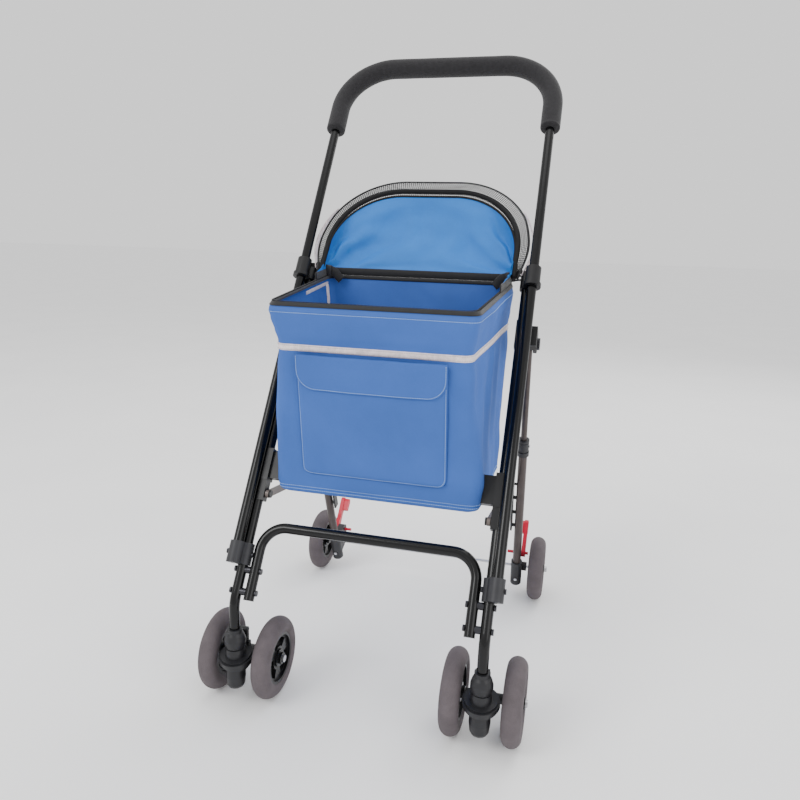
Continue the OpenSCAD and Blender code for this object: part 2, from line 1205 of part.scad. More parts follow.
module brake() {
  translate([172, brk_y, brk_z])
  xcyl(3, 42);
  translate([foot_x0 + 6.4, brk_y, brk_z])
  rotate([49, 0, 0])
  yz()
  linear_extrude(8)
  union() {
    circle(r = 8, $fn = 48);
    polygon([
      [0, -8], [30, -5.5], [56, -7], [66, -8], [70, -3], [70, 5], [64, 8], [30, 5.5], [0, 8]
    ]);
  }
  translate([foot_x0 - 4, brk_y, brk_z])
  rotate([49, 0, 0])
  yz()
  linear_extrude(19)
  polygon([[42, -4], [62, -6], [68, -2], [68, 4], [62, 6.5], [42, 4]]);
}

module brake_right() {
  color([0.9, 0.28, 0.36])
  place()
  brake();
}

module brake_left() {
  color([0.9, 0.28, 0.36])
  place()
  mirror([1, 0, 0])
  brake();
}

handle_tube();
foam_grip();
front_leg_left();
front_leg_right();
clamp_left();
clamp_right();
clamp_screws();
footrest_bar();
footrest_bolts();
upper_bracket_left();
upper_bracket_right();
pivot_bracket_left();
pivot_bracket_right();
pivot_pins();
side_bracket_left();
side_bracket_right();
basket_shell();
basket_floor();
basket_rim();
pocket_body();
pocket_flap();
hood_bow();
hood_panel();
caster_cup_left();
caster_cup_right();
rear_leg_left();
rear_leg_right();
upper_link_left();
upper_link_right();
sleeve_left();
sleeve_right();
foot_bracket_left();
foot_bracket_right();
leg_catch_left();
leg_catch_right();
axle_rod();
leg_rivets();
axle_nuts();
brace_left();
brace_right();
brake_left();
brake_right();
rear_tyre_left();
rear_tyre_right();
rear_hub_left();
rear_hub_right();
caster_body_left();
caster_body_right();
caster_axle_left();
caster_axle_right();
swivel_lock_left();
swivel_lock_right();
tyre_left_outer();
tyre_left_inner();
tyre_right_inner();
tyre_right_outer();
hub_left_outer();
hub_left_inner();
hub_right_inner();
hub_right_outer();
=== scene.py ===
"""Looks of the pet stroller: sewn basket, pocket, hood, foam grip and materials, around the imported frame."""

import json
import math

import bmesh
import bpy
from mathutils import Matrix, Vector, noise


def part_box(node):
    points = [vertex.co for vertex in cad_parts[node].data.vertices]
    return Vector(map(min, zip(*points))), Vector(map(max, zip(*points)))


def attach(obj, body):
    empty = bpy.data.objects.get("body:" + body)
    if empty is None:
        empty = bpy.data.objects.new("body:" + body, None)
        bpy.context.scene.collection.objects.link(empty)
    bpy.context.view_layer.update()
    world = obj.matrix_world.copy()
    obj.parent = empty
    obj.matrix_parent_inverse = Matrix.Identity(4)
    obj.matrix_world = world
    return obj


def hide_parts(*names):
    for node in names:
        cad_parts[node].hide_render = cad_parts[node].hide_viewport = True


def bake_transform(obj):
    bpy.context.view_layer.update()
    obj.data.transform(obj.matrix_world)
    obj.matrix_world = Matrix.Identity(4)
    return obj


MM = 0.001

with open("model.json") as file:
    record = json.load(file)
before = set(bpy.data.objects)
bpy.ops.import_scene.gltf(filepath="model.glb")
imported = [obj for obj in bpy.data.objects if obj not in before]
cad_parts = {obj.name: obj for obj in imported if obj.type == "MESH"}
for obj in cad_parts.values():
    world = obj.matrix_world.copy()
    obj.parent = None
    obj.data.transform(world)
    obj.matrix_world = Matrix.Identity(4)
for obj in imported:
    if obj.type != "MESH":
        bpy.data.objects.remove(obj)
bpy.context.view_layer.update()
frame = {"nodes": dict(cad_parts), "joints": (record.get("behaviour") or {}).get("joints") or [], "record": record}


# ---------------------------------------------------------------- camera

def make_camera():
    """Viewpoint in front and to the right, looking slightly down."""
    right = Vector((0.9663, 0.2561, 0.0286)).normalized()
    up = Vector((-0.0836, 0.2066, 0.9749)).normalized()
    back = right.cross(up).normalized()
    up = back.cross(right)
    data = bpy.data.cameras.new("camera")
    data.lens = 31.79
    data.sensor_width = 36.0
    camera = bpy.data.objects.new("camera", data)
    pose = Matrix((right, up, back)).transposed().to_4x4()
    pose.translation = (0.2879, -1.1517, 0.7156)
    camera.matrix_world = pose
    bpy.context.scene.collection.objects.link(camera)
    bpy.context.scene.camera = camera


make_camera()


# ---------------------------------------------------------------- materials

def srgb(r, g, b):
    """Linear colour of an 8-bit sRGB colour."""
    def linear(c):
        c /= 255
        return c / 12.92 if c <= 0.04045 else ((c + 0.055) / 1.055) ** 2.4
    return (linear(r), linear(g), linear(b), 1.0)


def shade(colour, k):
    return tuple(min(c * k, 1.0) for c in colour[:3]) + (1.0,)


class Nodes:
    """A material under construction, with short names for the nodes it needs."""

    def __init__(self, name, rough=0.5, metallic=0.0, sheen=0.0, specular=0.5):
        self.material = bpy.data.materials.new(name)
        self.material.use_nodes = True
        self.tree = self.material.node_tree
        self.shader = self.tree.nodes["Principled BSDF"]
        self.shader.inputs["Roughness"].default_value = rough
        self.shader.inputs["Metallic"].default_value = metallic
        self.shader.inputs["Sheen Weight"].default_value = sheen
        self.shader.inputs["Sheen Roughness"].default_value = 0.5
        self.shader.inputs["Specular IOR Level"].default_value = specular
        self.place = self.add("ShaderNodeTexCoord").outputs["Object"]
        self.bump = None

    def add(self, kind, **settings):
        node = self.tree.nodes.new(kind)
        for key, value in settings.items():
            setattr(node, key, value)
        return node

    def link(self, a, b):
        self.tree.links.new(a, b)

    def noise(self, scale, detail=2.0, rough=0.5, stretch=None):
        node = self.add("ShaderNodeTexNoise")
        node.inputs["Scale"].default_value = scale
        node.inputs["Detail"].default_value = detail
        node.inputs["Roughness"].default_value = rough
        self.link(self.stretched(stretch) if stretch else self.place, node.inputs["Vector"])
        return node.outputs["Fac"]

    def cells(self, scale):
        node = self.add("ShaderNodeTexVoronoi")
        node.inputs["Scale"].default_value = scale
        self.link(self.place, node.inputs["Vector"])
        return node.outputs["Distance"]

    def stretched(self, factors):
        node = self.add("ShaderNodeMapping")
        node.inputs["Scale"].default_value = factors
        self.link(self.place, node.inputs["Vector"])
        return node.outputs["Vector"]

    def math(self, operation, a, b=None):
        node = self.add("ShaderNodeMath", operation=operation)
        for socket, value in zip(node.inputs, (a, b)):
            if value is None:
                continue
            if isinstance(value, (int, float)):
                socket.default_value = value
            else:
                self.link(value, socket)
        return node.outputs[0]

    def ramp(self, factor, low, high, dark, light):
        """Colour from dark to light as factor goes from low to high."""
        node = self.add("ShaderNodeValToRGB")
        node.color_ramp.elements[0].position = low
        node.color_ramp.elements[0].color = dark
        node.color_ramp.elements[1].position = high
        node.color_ramp.elements[1].color = light
        self.link(factor, node.inputs["Fac"])
        return node.outputs["Color"]

    def colour(self, socket):
        self.link(socket, self.shader.inputs["Base Color"])

    def roughness(self, factor, low, high):
        node = self.add("ShaderNodeMapRange")
        node.inputs["To Min"].default_value = low
        node.inputs["To Max"].default_value = high
        self.link(factor, node.inputs["Value"])
        self.link(node.outputs["Result"], self.shader.inputs["Roughness"])

    def height(self, socket, depth, strength=0.5):
        """Adds a bump of the given depth in metres on top of those before it."""
        node = self.add("ShaderNodeBump")
        node.inputs["Distance"].default_value = depth
        node.inputs["Strength"].default_value = strength
        self.link(socket, node.inputs["Height"])
        if self.bump:
            self.link(self.bump, node.inputs["Normal"])
        self.bump = node.outputs["Normal"]
        self.link(self.bump, self.shader.inputs["Normal"])


def weave(n, pitch, rib=False):
    """Crossing threads of a plain weave, as a value from -1 to 1; rib gives cross ribs only."""
    axes = n.add("ShaderNodeSeparateXYZ")
    n.link(n.place, axes.inputs[0])
    turn = 2 * math.pi / pitch
    along = n.math("SINE", n.math("MULTIPLY", n.math("ADD", axes.outputs[0], axes.outputs[1]), turn))
    if rib:
        return along
    across = n.math("SINE", n.math("MULTIPLY", axes.outputs[2], turn))
    return n.math("MULTIPLY", along, across)


def fabric(name, colour, pitch=0.9 * MM, rough=0.78, sheen=0.25, spread=0.12, crease=1.2 * MM):
    """Woven polyester: thread relief, slightly uneven dye and soft creasing."""
    n = Nodes(name, rough=rough, sheen=sheen, specular=0.3)
    n.shader.inputs["Sheen Tint"].default_value = shade(colour, 1.6)
    threads = weave(n, pitch)
    patches = n.math("MULTIPLY", n.noise(11, 3), 0.62)
    mottle = n.math("ADD", patches, n.math("MULTIPLY", n.noise(900, 2), 0.38))
    tone = n.math("ADD", mottle, n.math("MULTIPLY", threads, 0.05))
    n.colour(n.ramp(tone, 0.32, 0.68, shade(colour, 1 - spread), shade(colour, 1 + spread)))
    n.height(n.noise(26, 3, 0.55), crease, 0.35)
    n.height(threads, 0.12 * MM, 0.4)
    return n.material


def webbing(name, colour, pitch=1.6 * MM, rough=0.7, sheen=0.2):
    """Narrow woven tape with ribs across it."""
    n = Nodes(name, rough=rough, sheen=sheen, specular=0.35)
    ribs = weave(n, pitch, rib=True)
    tone = n.math("ADD", n.noise(160, 2), n.math("MULTIPLY", ribs, 0.08))
    n.colour(n.ramp(tone, 0.3, 0.7, shade(colour, 0.82), shade(colour, 1.15)))
    n.height(ribs, 0.18 * MM, 0.5)
    return n.material


def paint(name, colour, rough, metallic=0.0, specular=0.4, spread=0.1, peel=0.04):
    """Powder-coated or lacquered tube with a faint orange peel and handling marks."""
    n = Nodes(name, rough=rough, specular=specular, metallic=metallic)
    n.colour(n.ramp(n.noise(45, 4), 0.35, 0.7, shade(colour, 1 - spread), shade(colour, 1 + spread)))
    n.roughness(n.noise(28, 5, 0.65), rough * 0.75, rough * 1.35)
    n.height(n.noise(420, 2), 0.12 * MM, peel)
    return n.material


def plastic(name, colour, rough=0.5, grain=0.3, spread=0.12, scale=1500):
    """Moulded nylon: fine spark-eroded grain and slightly uneven gloss."""
    n = Nodes(name, rough=rough, specular=0.35)
    n.colour(n.ramp(n.noise(70, 4), 0.35, 0.68, shade(colour, 1 - spread), shade(colour, 1 + spread)))
    n.roughness(n.noise(36, 3), rough * 0.85, min(rough * 1.2, 1))
    n.height(n.noise(scale, 2), 0.1 * MM, grain)
    return n.material


def foam_material(name, colour):
    n = Nodes(name, rough=0.86, sheen=0.12, specular=0.25)
    n.colour(n.ramp(n.noise(180, 4), 0.3, 0.7, shade(colour, 0.82), shade(colour, 1.2)))
    n.height(n.cells(620), 0.5 * MM, 0.45)
    n.height(n.noise(60, 3), 0.6 * MM, 0.25)
    return n.material


def tyre_material(name, colour):
    """Solid EVA tyre: matte, fine pores and pale scuffing."""
    n = Nodes(name, rough=0.8, specular=0.3)
    patches = n.math("MULTIPLY", n.noise(34, 5, 0.6), 0.7)
    scuff = n.math("ADD", patches, n.math("MULTIPLY", n.noise(700, 2), 0.3))
    n.colour(n.ramp(scuff, 0.36, 0.66, shade(colour, 0.84), shade(colour, 1.18)))
    n.roughness(n.noise(50, 3), 0.68, 0.9)
    n.height(n.noise(1100, 2), 0.12 * MM, 0.45)
    n.height(n.noise(90, 3), 0.25 * MM, 0.2)
    return n.material


def steel(name, colour, rough=0.26):
    n = Nodes(name, rough=rough, metallic=1.0)
    brushed = n.noise(900, 2, 0.6, stretch=(0.08, 1, 1))
    n.colour(n.ramp(brushed, 0.3, 0.7, shade(colour, 0.85), shade(colour, 1.08)))
    n.roughness(brushed, rough * 0.8, rough * 1.5)
    return n.material


BLUE = srgb(56, 94, 168)
WHITE_TAPE = srgb(226, 214, 216)

MATERIALS = {
    "tube_black": paint("gloss_black_paint", srgb(7, 7, 8), 0.2, specular=0.3),
    "foam": foam_material("grip_foam", srgb(34, 33, 35)),
    "clamp_grey": plastic("grey_nylon", srgb(44, 44, 47), 0.46),
    "black_plastic": plastic("black_nylon", srgb(17, 17, 19), 0.4),
    "caster_plastic": plastic("caster_nylon", srgb(29, 29, 32), 0.38),
    "dark_steel": paint("blackened_steel", srgb(52, 52, 56), 0.3, metallic=0.7),
    "bright_steel": steel("zinc_steel", srgb(205, 205, 208)),
    "leg_satin": paint("satin_leg_paint", srgb(70, 62, 60), 0.34, metallic=0.35),
    "brace_grey": paint("satin_brace_paint", srgb(104, 95, 91), 0.38, metallic=0.35),
    "brake_red": plastic("brake_red", srgb(205, 28, 56), 0.34, grain=0.12, spread=0.06),
    "basket_fabric": fabric("basket_polyester", BLUE),
    "hood_fabric": fabric("hood_polyester", srgb(36, 112, 192), pitch=0.7 * MM, rough=0.6, crease=2 * MM),
    "binding_black": webbing("black_tape", srgb(22, 22, 24)),
    "bow_black": fabric("black_sleeve", srgb(15, 15, 17), spread=0.2, crease=0.8 * MM),
    "board": fabric("pad_cloth", srgb(62, 84, 128), pitch=1.1 * MM),
    "tyre_foam": tyre_material("eva_tyre", srgb(86, 79, 82)),
    "hub_black": plastic("hub_nylon", srgb(16, 16, 18), 0.3, grain=0.12),
}
WHITE = webbing("white_tape", WHITE_TAPE, pitch=1.4 * MM, rough=0.55)
THREAD = fabric("thread_light", srgb(158, 190, 236), pitch=0.3 * MM, spread=0.15, crease=0.1 * MM)
THREAD_GREY = fabric("thread_grey", srgb(186, 176, 182), pitch=0.3 * MM, spread=0.15, crease=0.1 * MM)
NET = plastic("net_nylon", srgb(16, 16, 18), 0.6)

slots = {part["node"]: part["material_slot"] for part in frame["record"]["subparts"]}
for node_name, node in frame["nodes"].items():
    for place in node.material_slots:
        place.material = MATERIALS[slots[node_name]]


# ---------------------------------------------------------------- stage

def make_stage():
    floor_material = Nodes("stage_floor", rough=0.85, specular=0.2)
    floor_material.colour(floor_material.ramp(floor_material.noise(3, 2), 0.3, 0.7,
                                              (0.93, 0.93, 0.935, 1), (0.96, 0.96, 0.96, 1)))
    mesh = bpy.data.meshes.new("stage_floor")
    half = 30.0
    corners = [(-half, -half, 0), (half, -half, 0), (half, half, 0), (-half, half, 0)]
    mesh.from_pydata(corners, [], [(0, 1, 2, 3)])
    floor = bpy.data.objects.new("stage_floor", mesh)
    floor.data.materials.append(floor_material.material)
    bpy.context.scene.collection.objects.link(floor)

    world = bpy.data.worlds.new("studio")
    world.use_nodes = True
    world.node_tree.nodes["Background"].inputs["Color"].default_value = (1, 1, 1, 1)
    world.node_tree.nodes["Background"].inputs["Strength"].default_value = 1.15
    bpy.context.scene.world = world

    target = Vector((0, 0, 0.5))
    for name, spot, size, power in (
        ("key", (-1.8, -2.4, 2.6), 1.6, 62),
        ("fill", (2.6, -1.6, 1.5), 2.0, 26),
        ("rim", (1.2, 2.4, 2.4), 1.6, 34),
        ("top", (0, 0.2, 3.2), 2.0, 22),
    ):
        data = bpy.data.lights.new(name, "AREA")
        data.size = size
        data.energy = power
        light = bpy.data.objects.new(name, data)
        light.location = spot
        light.rotation_euler = (target - Vector(spot)).to_track_quat("-Z", "Y").to_euler()
        bpy.context.scene.collection.objects.link(light)


make_stage()


# ---------------------------------------------------------------- mesh helpers

def lerp(a, b, t):
    return a + (b - a) * t


def smooth(t):
    t = min(max(t, 0.0), 1.0)
    return t * t * (3 - 2 * t)


def piece(name, verts, faces, material, body, slot):
    """A mesh object of the model, smooth shaded, with its normals outwards."""
    bm = bmesh.new()
    made = [bm.verts.new(v) for v in verts]
    for face in faces:
        if len(set(face)) > 2:
            try:
                bm.faces.new([made[i] for i in face])
            except ValueError:
                pass
    bmesh.ops.remove_doubles(bm, verts=bm.verts, dist=1e-6)
    bmesh.ops.recalc_face_normals(bm, faces=bm.faces)
    mesh = bpy.data.meshes.new(name)
    bm.to_mesh(mesh)
    bm.free()
    for polygon in mesh.polygons:
        polygon.use_smooth = True
    mesh.materials.append(material)
    obj = bpy.data.objects.new(name, mesh)
    bpy.context.scene.collection.objects.link(obj)
    if body:
        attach(obj, body)
    return obj


def grid_faces(rows, columns, wrap_rows=False, wrap_columns=False, start=0):
    """Quads of a grid of points stored row by row."""
    faces = []
    for r in range(rows if wrap_rows else rows - 1):
        for c in range(columns if wrap_columns else columns - 1):
            r1, c1 = (r + 1) % rows, (c + 1) % columns
            faces.append((start + r * columns + c, start + r * columns + c1,
                          start + r1 * columns + c1, start + r1 * columns + c))
    return faces


def panel_faces(nx, ny):
    """Faces of a closed panel: a front grid, a back grid after it, and the quads that join their borders."""
    columns = nx + 1
    count = columns * (ny + 1)
    faces = grid_faces(ny + 1, columns) + grid_faces(ny + 1, columns, start=count)
    border = list(range(columns)) + [(j + 1) * columns - 1 for j in range(1, ny + 1)]
    border += [ny * columns + i for i in range(nx - 1, -1, -1)] + [j * columns for j in range(ny - 1, 0, -1)]
    for a, b in zip(border, border[1:] + border[:1]):
        faces.append((a, b, b + count, a + count))
    return faces


def frames_along(points, up):
    """Tangent, side and normal at each point; up gives the normal, one vector or one a point."""
    result = []
    last = len(points) - 1
    for i, point in enumerate(points):
        tangent = (points[min(i + 1, last)] - points[max(i - 1, 0)]).normalized()
        normal = up[i] if isinstance(up, list) else up
        side = tangent.cross(normal).normalized()
        result.append((point, tangent, side, side.cross(tangent).normalized()))
    return result


def sweep(points, up, section, scale=None):
    """Vertices and faces of a section of (side, normal) offsets carried along points, ends capped."""
    verts, count = [], len(section)
    for i, (point, _, side, normal) in enumerate(frames_along(points, up)):
        k = scale[i] if scale else 1.0
        verts += [point + side * (a * k) + normal * (b * k) for a, b in section]
    faces = grid_faces(len(points), count, wrap_columns=True)
    faces.append(tuple(range(count)))
    faces.append(tuple(range(len(verts) - count, len(verts))))
    return verts, faces


def round_section(radius, sides=16):
    return [(radius * math.cos(2 * math.pi * k / sides), radius * math.sin(2 * math.pi * k / sides))
            for k in range(sides)]


def strap_section(width, thick):
    """A flat strap's cross-section with rounded edges."""
    w, t = width / 2, thick / 2
    return [(-w, 0), (-w + t, -t), (0, -t), (w - t, -t), (w, 0), (w - t, t), (0, t), (-w + t, t)]


def merge(parts):
    """Joins (verts, faces) pairs into one."""
    verts, faces = [], []
    for v, f in parts:
        start = len(verts)
        verts += v
        faces += [tuple(i + start for i in face) for face in f]
    return verts, faces


def resample(points, step):
    """Points at equal steps along a polyline."""
    out, carried = [points[0].copy()], 0.0
    for a, b in zip(points, points[1:]):
        length = (b - a).length
        while carried + length >= step:
            t = (step - carried) / length
            a = a.lerp(b, t)
            length = (b - a).length
            out.append(a.copy())
            carried = 0.0
        carried += length
    return out


def stitch_row(points, normal, pitch=3.4 * MM, length=2.3 * MM, radius=0.42 * MM):
    """Short raised threads along a line; normal is a vector or a function of the point."""
    parts = []
    line = resample(points, pitch)
    for a, b in zip(line, line[1:]):
        middle = (a + b) / 2
        out = normal(middle) if callable(normal) else normal
        along = (b - a).normalized()
        half = along * (length / 2)
        knots = [middle - half - out * 0.1 * MM, middle - half * 0.6 + out * 0.12 * MM,
                 middle + half * 0.6 + out * 0.12 * MM, middle + half - out * 0.1 * MM]
        parts.append(sweep(knots, out, round_section(radius, 6), [0.55, 1, 1, 0.55]))
    return merge(parts)


# ---------------------------------------------------------------- basket

SHELL_LO, SHELL_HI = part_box("basket_shell")
RIM_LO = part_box("basket_rim")[0]
FLOOR_LO, FLOOR_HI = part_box("basket_floor")
POCKET_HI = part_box("pocket_body")[1]
FLAP_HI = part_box("pocket_flap")[1]

RIM_FRONT_Z = RIM_LO.z - 0.5 * MM
RIM_BACK_Z = SHELL_HI.z
CORNER = 15 * MM
FRONT_HALF = (154 * MM, 154 * MM)
BACK_HALF = (165 * MM, SHELL_HI.x)
FRONT_Y = (-179 * MM, SHELL_LO.y)
BACK_Y = (50 * MM, SHELL_HI.y)
WALL_BASE = 0.054

# height fraction, then how far in mm the cloth lies inside the frame's shell:
# at the front corners, at the rear corners and at the front
BODY_LINE = [(0, 0, 9, 4.5), (0.012, -4.5, 6, 1.5), (0.04, -6, 5, 1), (0.12, -6, 5, 0.6), (0.4, -1, 4, 0.2),
             (0.68, 5, 4, 0.6), (0.765, 8, 5, 2.4), (0.812, 8, 5, 2.6), (0.87, 4, 4, 0.4), (0.93, 0, 2, -2.2),
             (0.965, -2, 1, -2.6), (0.99, 0, 2, 0), (1, 3, 4, 3)]
STRIPE = (0.772, 0.806)
ARC_STEPS, FRONT_STEPS, SIDE_STEPS = 10, 56, 50


def inset(v):
    for (v0, *low), (v1, *high) in zip(BODY_LINE, BODY_LINE[1:]):
        if v <= v1:
            t = smooth((v - v0) / (v1 - v0))
            return [lerp(a, b, t) * MM for a, b in zip(low, high)]
    return [a * MM for a in BODY_LINE[-1][1:]]


def ring(v, deeper=0.0):
    """Points and outward directions round the basket at height fraction v, deeper metres further in."""
    t = (v - WALL_BASE) / (1 - WALL_BASE)
    side_front, side_back, front_in = inset(v)
    front_half = lerp(*FRONT_HALF, t) - side_front - deeper
    back_half = lerp(*BACK_HALF, t) - side_back - deeper
    y_front = lerp(*FRONT_Y, t) + front_in + deeper
    y_back = lerp(*BACK_Y, t) - 2 * MM - deeper
    radius = CORNER - deeper / 2
    corners = [(-front_half + radius, y_front + radius, 180), (front_half - radius, y_front + radius, 270),
               (back_half - radius, y_back - radius, 0), (-back_half + radius, y_back - radius, 90)]
    steps = (FRONT_STEPS, SIDE_STEPS, FRONT_STEPS, SIDE_STEPS)

    def on_corner(corner, angle):
        a = math.radians(angle)
        return Vector((corner[0] + radius * math.cos(a), corner[1] + radius * math.sin(a), 0)), \
            Vector((math.cos(a), math.sin(a), 0))

    plan = []
    for i, corner in enumerate(corners):
        plan += [on_corner(corner, corner[2] + 90 * k / ARC_STEPS) for k in range(ARC_STEPS + 1)]
        start, normal = plan[-1]
        following = corners[(i + 1) % 4]
        end, end_normal = on_corner(following, following[2])
        plan += [(start.lerp(end, k / steps[i]), normal.lerp(end_normal, k / steps[i]).normalized())
                 for k in range(1, steps[i])]
    points = []
    for place, normal in plan:
        back = (place.y - y_front) / (y_back - y_front)
        z = lerp(SHELL_LO.z, lerp(RIM_FRONT_Z, RIM_BACK_Z, back), v)
        points.append((Vector((place.x, place.y, z)), normal))
    return points


def slack(point, v):
    """How far the cloth stands out of its plain shape: soft waves, with creases near the lower corners."""
    free = smooth(v / 0.08) * smooth((1 - v) / 0.06)
    stripe = 1 - 0.85 * math.exp(-((v - 0.789) / 0.03) ** 2)
    waves = noise.noise(Vector((point.x * 15, point.y * 15, point.z * 9))) * 2.8
    creases = noise.noise(Vector((point.x * 60 + point.z * 38, point.y * 40, point.z * 20 + 7))) * 0.9
    low = math.exp(-((v - 0.1) / 0.14) ** 2)
    side = smooth((abs(point.x) - 0.112) / 0.03) * (1 - smooth((v - 0.7) / 0.08))
    lean = point.x * 55 + point.y * 48 - abs(point.z - 0.42) * 9
    folds = math.sin(lean * 2.1 + noise.noise(point * 9) * 2.4) * 1.5 * side
    collar = math.exp(-((v - 0.9) / 0.07) ** 2)
    return (waves + folds + creases * (0.5 + 1.4 * low + 0.9 * collar)) * MM * free * stripe


def wall(v, k, out=0.0):
    """Point and normal of the basket's outer face at height fraction v and column k, lifted by out."""
    point, normal = ring(v)[k]
    return point + normal * (slack(point, v) + out), normal


def basket_rings(heights, deeper=0.0):
    rows = []
    for v in heights:
        rows.append([p + n * slack(p, v) for p, n in ring(v, deeper)])
    return rows


def scaled_ring(row, k, lift):
    centre = sum(row, Vector()) / len(row)
    return [centre.lerp(p, k) + Vector((0, 0, lift)) for p in row]


def make_basket():
    outer = [0, 0.006, 0.012, 0.025, 0.04, 0.06] + [0.09 + 0.0325 * k for k in range(21)]
    outer += [0.765, 0.775, 0.789, 0.803, 0.812, 0.825, 0.84, 0.86, 0.88, 0.9, 0.92, 0.94, 0.96]
    outer += [0.975, 0.99, 1.0]
    rows = []
    base = basket_rings([0])[0]
    for k in (0.12, 0.35, 0.6, 0.82, 0.94):
        rows.append(scaled_ring(base, k, -0.2 * MM))
    rows += basket_rings(outer)
    thick = 3.2 * MM
    inner = [v for v in reversed(outer) if v > 0.03]
    rows += basket_rings(inner, deeper=thick)
    low = basket_rings([0.025], deeper=thick + 1 * MM)[0]
    for k in (1.0, 0.94, 0.8, 0.55, 0.3, 0.1):
        rows.append(scaled_ring(low, k, 0))
    columns = len(rows[0])
    verts = [p for row in rows for p in row]
    faces = grid_faces(len(rows), columns, wrap_columns=True)
    faces.append(tuple(range(columns)))
    faces.append(tuple(range(len(verts) - columns, len(verts))))
    basket = piece("basket_cloth", verts, faces, MATERIALS["basket_fabric"], "frame", "basket_fabric")
    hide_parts("basket_shell")
    return basket


make_basket()

COLUMNS = len(ring(0.5))
BACK_LEFT = COLUMNS - SIDE_STEPS
BACK_RIGHT = 2 * ARC_STEPS + FRONT_STEPS + SIDE_STEPS + 1


def band(name, low, high, thick, material, slot, columns=None, deeper=0.0, inside=False):
    """A flat tape sewn on the basket's wall between two height fractions, with rounded edges."""
    closed = columns is None
    columns = list(range(COLUMNS)) if closed else columns
    edge = (high - low) * 0.12
    profile = [(low, 0.1), (low + edge, 1), (lerp(low, high, 0.5), 1.05), (high - edge, 1), (high, 0.1)]
    front = []
    for v, k in profile:
        row = ring(v, deeper)
        lift = (-k if inside else k) * thick
        front.append([row[c][0] + row[c][1] * (slack(row[c][0], v) + lift) for c in columns])
    back = []
    for v in (high, low):
        row = ring(v, deeper)
        lift = (0.3 if inside else -0.3) * MM
        back.append([row[c][0] + row[c][1] * (slack(row[c][0], v) + lift) for c in columns])
    rows = front + back
    verts = [p for row in rows for p in row]
    faces = grid_faces(len(rows), len(columns), wrap_rows=True, wrap_columns=closed)
    if not closed:
        count = len(columns)
        faces.append(tuple(r * count for r in range(len(rows))))
        faces.append(tuple(r * count + count - 1 for r in range(len(rows))))
    return piece(name, verts, faces, material, "frame", slot)


def wall_line(v, columns, out):
    return [wall(v, c, out)[0] for c in columns]


def make_trim():
    band("basket_stripe", *STRIPE, 0.9 * MM, WHITE, "binding_black")
    band("basket_hem", 0.004, 0.03, 1.0 * MM, MATERIALS["basket_fabric"], "basket_fabric")
    loop = list(range(COLUMNS)) + [0]

    def outward(point):
        return Vector((point.x / SHELL_HI.x ** 2, (point.y - FRONT_Y[0] / 2) / 0.14 ** 2, 0)).normalized()

    edges = (STRIPE[0] + 0.006, STRIPE[1] - 0.006)
    rows = [stitch_row(wall_line(v, loop, 1.05 * MM), outward) for v in edges]
    piece("stripe_stitches", *merge(rows), THREAD_GREY, "frame", "binding_black")
    rows = [stitch_row(wall_line(v, loop, 0.2 * MM), outward) for v in (0.04, 0.962)]
    rows.append(stitch_row(wall_line(0.024, loop, 1.1 * MM), outward))
    piece("basket_stitches", *merge(rows), THREAD, "frame", "basket_fabric")


make_trim()


def make_rim():
    """Zip tape round the rim, with its coil, standing for the frame's rim binding."""
    top = ring(1.0)
    under = ring(0.99)
    section = [(0.1, 1.0, 0), (0.2, 1.5, 0.2), (0.6, 1.6, 0.8), (1.0, 1.4, 2.0), (1.0, 0.3, 3.2),
               (1.0, -1.6, 3.4), (1.0, -3.6, 2.8), (1.0, -4.6, 1.2), (0.5, -4.6, 0), (0.1, -4.2, 0)]
    rows = []
    for t, out, up in section:
        rows.append([under[c][0].lerp(top[c][0], t) + top[c][1] * out * MM + Vector((0, 0, up * MM))
                     for c in range(COLUMNS)])
    verts = [p for row in rows for p in row]
    faces = grid_faces(len(rows), COLUMNS, wrap_rows=True, wrap_columns=True)
    tape = piece("rim_tape", verts, faces, MATERIALS["binding_black"], "frame", "binding_black")
    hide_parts("basket_rim")

    line = [top[c][0] + top[c][1] * -1.4 * MM + Vector((0, 0, 3.5 * MM)) for c in list(range(COLUMNS)) + [0]]
    line = resample(line, 2.0 * MM)
    teeth = []
    for a, b in zip(line, line[1:]):
        along = (b - a).normalized()
        across = along.cross(Vector((0, 0, 1))).normalized()
        middle = (a + b) / 2
        knots = [middle - across * 2.1 * MM, middle - across * 1.3 * MM + Vector((0, 0, 0.8 * MM)),
                 middle + along * 0.5 * MM + across * 1.3 * MM + Vector((0, 0, 0.8 * MM)),
                 middle + along * 0.5 * MM + across * 2.1 * MM]
        teeth.append(sweep(knots, Vector((0, 0, 1)), round_section(0.5 * MM, 5), [0.7, 1, 1, 0.7]))
    piece("rim_zip_coil", *merge(teeth), MATERIALS["black_plastic"], "frame", "binding_black")


make_rim()


def make_lining_tape():
    """Pale binding inside the basket: along the rim's rear part and down the rear corners."""
    thick = 3.2 * MM
    left = list(range(BACK_LEFT - 3, BACK_LEFT + 22))
    right = list(range(BACK_RIGHT - 22, BACK_RIGHT + 3 - ARC_STEPS))
    band("lining_tape_left", 0.955, 0.975, 0.8 * MM, WHITE, "binding_black", left, thick, True)
    band("lining_tape_right", 0.955, 0.975, 0.8 * MM, WHITE, "binding_black", right, thick, True)
    seams = (("lining_seam_left", BACK_LEFT - 2), ("lining_seam_right", BACK_RIGHT - ARC_STEPS + 2))
    for name, column in seams:
        heights = [0.06 + 0.9 * k / 40 for k in range(41)]
        line, normals = [], []
        for v in heights:
            point, normal = ring(v, thick)[column]
            line.append(point + normal * (slack(point, v) - 0.6 * MM))
            normals.append(-normal)
        piece(name, *sweep(line, normals, strap_section(8 * MM, 1.2 * MM)), WHITE, "frame", "binding_black")


make_lining_tape()


